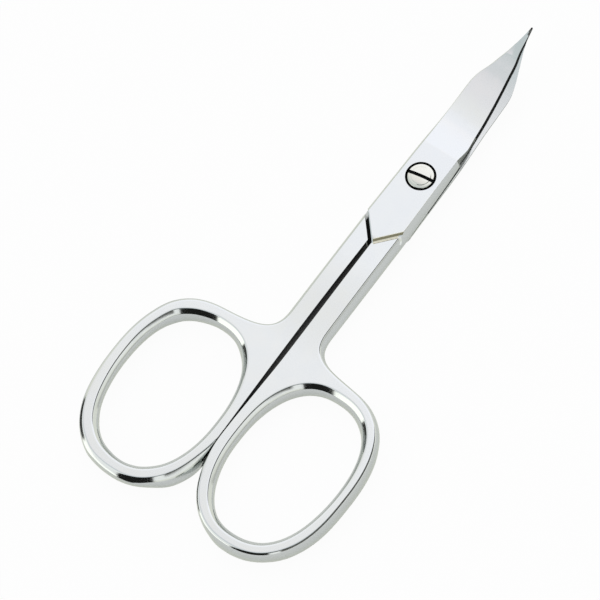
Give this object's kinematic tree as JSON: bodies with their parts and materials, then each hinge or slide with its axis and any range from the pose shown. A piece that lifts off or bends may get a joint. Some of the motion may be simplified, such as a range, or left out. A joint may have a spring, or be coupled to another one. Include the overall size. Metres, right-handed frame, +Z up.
{
  "type": "curved nail scissors",
  "caption": "Small all-metal scissors with curved pointed blades, oval finger bows and a slotted pivot screw, for trimming nails.",
  "frame": {"origin": "on the pivot's axis, in the plane of the box's underside, at the flush end of the screw", "axes": "+Y from the pivot to the tips, +X to the right seen from above, +Z up, the side that the blades curve towards"},
  "size_m": [0.0424, 0.0902, 0.005],
  "materials": {
    "lower_steel": "nickel-plated forged steel, polished",
    "upper_steel": "nickel-plated forged steel, polished",
    "screw_steel": "nickel-plated turned steel"
  },
  "bodies": {
    "lower": {"lower_half": "lower_steel", "pivot_screw": "screw_steel"},
    "upper": {"upper_half": "upper_steel"}
  },
  "joints": [
    {"name": "blade_pivot", "type": "hinge", "parent": "lower", "child": "upper", "pos_m": [0, 0, 0.0019], "axis": [0, 0, 1], "range_deg": [0, 135]}
  ]
}
